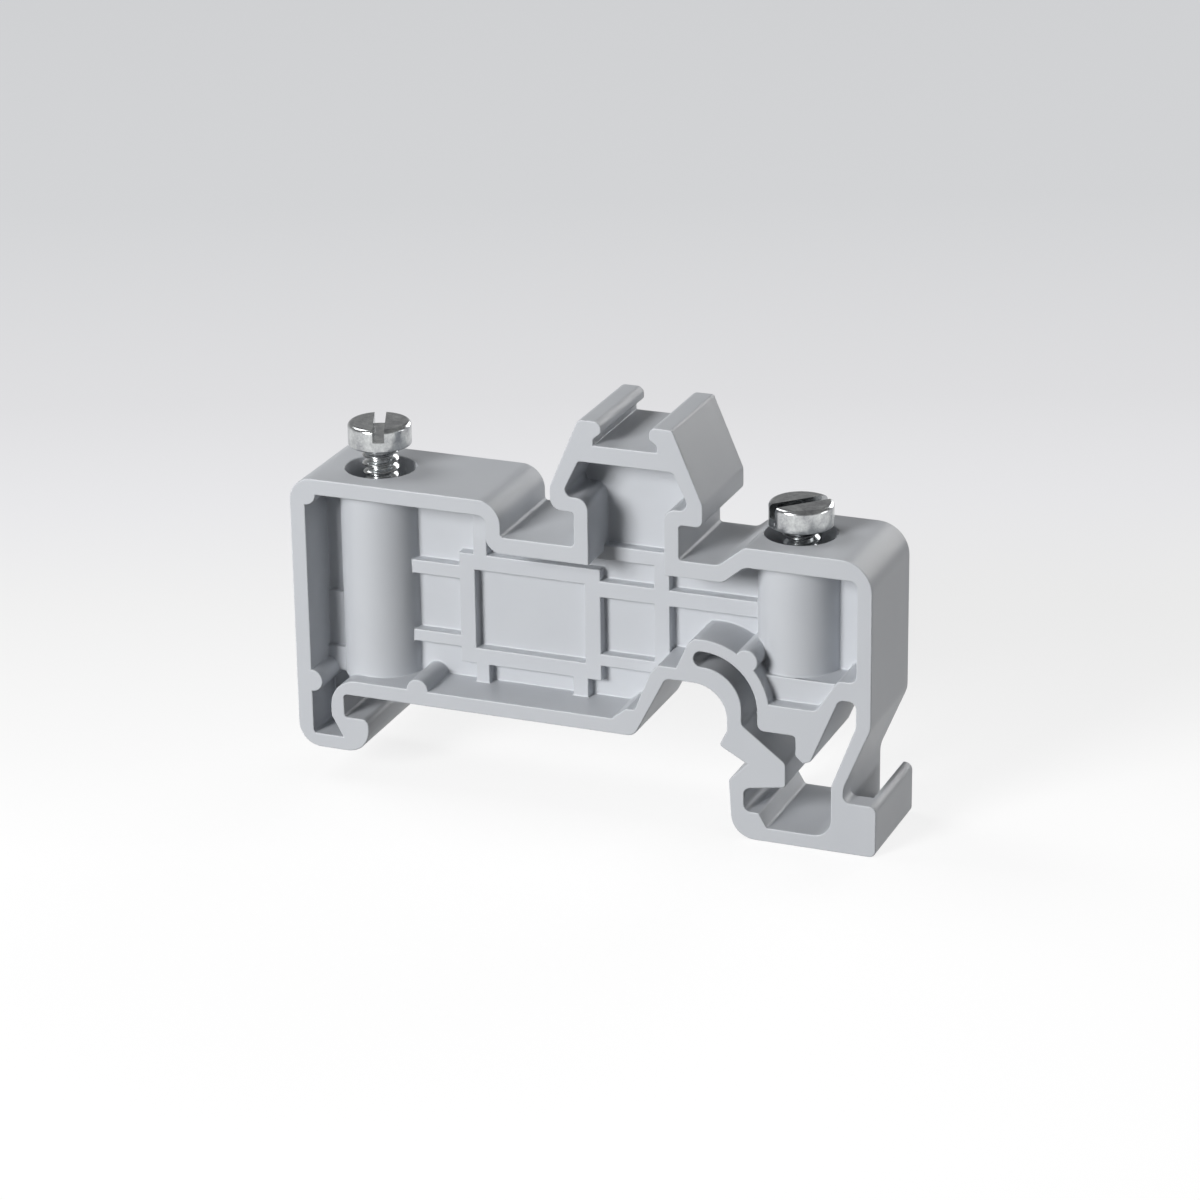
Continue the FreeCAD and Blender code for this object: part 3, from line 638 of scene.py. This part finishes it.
    @staticmethod
    def tube_faces(rows: int, columns: int) -> np.ndarray:
        """Faces of a grid whose last column joins its first."""
        corner = np.arange(rows * columns).reshape(rows, columns)
        following = np.roll(corner, -1, axis=1)
        sides = [corner[:-1], following[:-1], following[1:], corner[1:]]
        return np.stack(sides, axis=-1).reshape(-1, 4)


@dataclass
class Camera:
    """The photograph's camera: where it stands, how it is turned and its lens."""

    place: tuple[float, float, float] = (120.9 * MM, -291.15 * MM, 132.3 * MM)
    azimuth: float = math.radians(21.99)
    elevation: float = math.radians(21.38)
    roll: float = math.radians(-0.814)
    focal_pixels: float = 4181.7
    frame_pixels: float = 1200.0
    sensor_mm: float = 36.0
    nearest: float = 0.01
    farthest: float = 10.0

    def axes(self) -> tuple[Vector, Vector, Vector]:
        """The directions that the camera is turned to.

        Returns:
            Its right, its up and its backward direction.
        """
        level = math.cos(self.elevation)
        back = Vector(
            (math.sin(self.azimuth) * level, -math.cos(self.azimuth) * level, math.sin(self.elevation))
        )
        right = Vector((math.cos(self.azimuth), math.sin(self.azimuth), 0.0))
        up = back.cross(right)
        right_rolled = math.cos(self.roll) * right + math.sin(self.roll) * up
        up_rolled = math.cos(self.roll) * up - math.sin(self.roll) * right
        return right_rolled, up_rolled, back

    def build(self) -> bpy.types.Object:
        """Makes it the scene's camera.

        Returns:
            The camera's object.
        """
        data = bpy.data.cameras.new("camera")
        data.sensor_width = self.sensor_mm
        data.sensor_fit = "HORIZONTAL"
        data.lens = self.sensor_mm * self.focal_pixels / self.frame_pixels
        data.clip_start = self.nearest
        data.clip_end = self.farthest
        camera = bpy.data.objects.new("camera", data)
        turn = Matrix(self.axes()).transposed().to_4x4()
        camera.matrix_world = Matrix.Translation(self.place) @ turn
        bpy.context.scene.collection.objects.link(camera)
        bpy.context.scene.camera = camera
        return camera


@dataclass(frozen=True)
class Lamp:
    """A soft area lamp that looks at the object, by the side and the height that it stands at."""

    name: str
    azimuth: float
    elevation: float
    size: float
    level: float
    distance: float = 0.75

    def build(self, target: Vector) -> bpy.types.Object:
        """Hangs the lamp.

        A white surface that faces the lamp renders at about the lamp's level: a lamp of power P at distance
        d lights it with P / (pi d^2), and a diffuse white returns that over pi.

        Args:
            target: The point it looks at.

        Returns:
            The lamp's object.
        """
        side, height = math.radians(self.azimuth), math.radians(self.elevation)
        level_part = math.cos(height)
        away = Vector((math.sin(side) * level_part, -math.cos(side) * level_part, math.sin(height)))
        data = bpy.data.lights.new(self.name, "AREA")
        data.shape = "DISK"
        data.size = self.size
        data.energy = self.level * math.pi**2 * self.distance**2
        lamp = bpy.data.objects.new(self.name, data)
        lamp.location = target + away * self.distance
        lamp.rotation_euler = away.to_track_quat("Z", "Y").to_euler()
        bpy.context.scene.collection.objects.link(lamp)
        return lamp


@dataclass
class Studio:
    """A pale floor with painted shade that fades it to light grey behind, soft lamps and an even sky."""

    view_azimuth: float
    floor_height: float
    half_width: float = 3.0
    ambient: float = 0.04
    horizon: float = 0.64
    overhead: float = 0.22
    dark_from: float = 0.42
    shadow_share: float = 0.2
    floor_glow: float = 1.06
    bounce: float = 0.15
    shade_fade_from_mm: float = -60.0
    shade_fade_to_mm: float = 280.0

    def build(self, target: Vector) -> None:
        """Makes the floor, the lamps and the sky.

        Args:
            target: The point the lamps look at.
        """
        self.floor()
        self.sky()
        lamps = [
            Lamp("key_lamp", azimuth=-24.0, elevation=20.0, size=0.3, level=1.08),
            Lamp("left_lamp", azimuth=-100.0, elevation=50.0, size=0.4, level=0.32),
            Lamp("right_lamp", azimuth=105.0, elevation=4.0, size=0.4, level=0.22),
            Lamp("back_lamp", azimuth=165.0, elevation=14.0, size=0.5, level=0.45),
        ]
        for lamp in lamps:
            lamp.build(target)

    def floor(self) -> None:
        """A wide flat floor that keeps the object's shadow."""
        side = self.half_width
        corners = np.array([(-side, -side), (side, -side), (side, side), (-side, side)])
        points = np.column_stack([corners, np.full(4, self.floor_height)])
        piece = mesh_object("floor", points, [(0, 1, 2, 3)])
        piece.data.materials.append(self.floor_material())
        piece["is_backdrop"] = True

    def floor_material(self) -> bpy.types.Material:
        """The floor's material.

        Returns:
            The material: white near the camera, with painted shade fading it to grey behind, and partly lit
                so that shadows show.
        """
        shader = Shader(bpy.data.materials.new("backdrop"))
        place = shader.millimetres(turn=self.view_azimuth)
        behind = shader.node("ShaderNodeSeparateXYZ", None, {0: place}, "Y")
        # Painted shade: the floor's colour and glow fade from white to grey with distance behind the
        # object, as if less light reached it there.
        painted_falloff = (behind - self.shade_fade_from_mm) / (self.shade_fade_to_mm - self.shade_fade_from_mm)
        stops = [
            (0.0, linear(255, 255, 255)),
            (0.14, linear(254, 254, 254)),
            (0.21, linear(248, 248, 248)),
            (0.3, linear(240, 240, 240)),
            (0.38, linear(232, 232, 234)),
            (0.47, linear(223, 223, 225)),
            (0.69, linear(212, 213, 215)),
            (1.0, linear(209, 210, 212)),
        ]
        falloff_tone = shader.node("ShaderNodeValToRGB", {"stops": stops}, {0: painted_falloff})
        glow = shader.node("ShaderNodeEmission", None, {"Color": falloff_tone, "Strength": self.floor_glow})
        lit = shader.node("ShaderNodeBsdfDiffuse", None, {"Color": falloff_tone})
        seen = shader.node("ShaderNodeMixShader", None, {0: self.shadow_share, 1: glow, 2: lit})
        direct = shader.node("ShaderNodeLightPath", output="Is Camera Ray")
        mirrored = shader.node("ShaderNodeLightPath", output="Is Glossy Ray")
        through = shader.node("ShaderNodeLightPath", output="Is Transmission Ray")
        shown = direct + mirrored + through
        dim = shader.node("ShaderNodeBsdfDiffuse", None, {"Color": (self.bounce,) * 3 + (1.0,)})
        surface = shader.node("ShaderNodeMixShader", None, {0: shown, 1: dim, 2: seen})
        shader.node("ShaderNodeOutputMaterial", None, {"Surface": surface})
        return shader.owner

    def sky(self) -> None:
        """A dim even light, pale where it is seen itself and darker overhead where it is mirrored."""
        shader = Shader(bpy.data.worlds.new("sky"))
        seen = shader.node("ShaderNodeLightPath", output="Is Camera Ray")
        mirrored = shader.node("ShaderNodeLightPath", output="Is Glossy Ray")
        direction = shader.node("ShaderNodeTexCoord", output="Generated")
        upward = shader.node("ShaderNodeSeparateXYZ", None, {0: direction}, "Z")
        ends = {"From Max": self.dark_from, "To Min": self.horizon, "To Max": self.overhead}
        fading = shader.node("ShaderNodeMapRange", None, {"Value": upward, **ends})
        level = (1.0 - seen - mirrored) * self.ambient + seen * self.horizon + mirrored * fading
        white = (1.0, 1.0, 1.0, 1.0)
        light = shader.node("ShaderNodeBackground", None, {"Color": white, "Strength": level})
        shader.node("ShaderNodeOutputWorld", None, {"Surface": light})
        bpy.context.scene.world = shader.owner


def main() -> None:
    """Dresses the frame and sets the studio, its floor at the foot of the solids' box."""
    logging.basicConfig(level=logging.INFO, format="%(message)s")
    cad_box = lengths(*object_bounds())
    low, high = Vector(cad_box[0]), Vector(cad_box[1])
    camera = Camera()
    camera.build()
    pieces = [
        Moulding().build(),
        ClampScrew(Part.LEFT_SCREW.value, "left_screw", slot_degrees=112.0).build(),
        ClampScrew(Part.RIGHT_SCREW.value, "right_screw", slot_degrees=46.0).build(),
    ]
    for piece in pieces:
        log.info("%s: %d faces before modifiers", piece.name, len(piece.data.polygons))
    Studio(camera.azimuth, low.z).build((low + high) / 2.0)
    bpy.context.scene.view_settings.view_transform = "Standard"


if __name__ == "__main__":
    main()
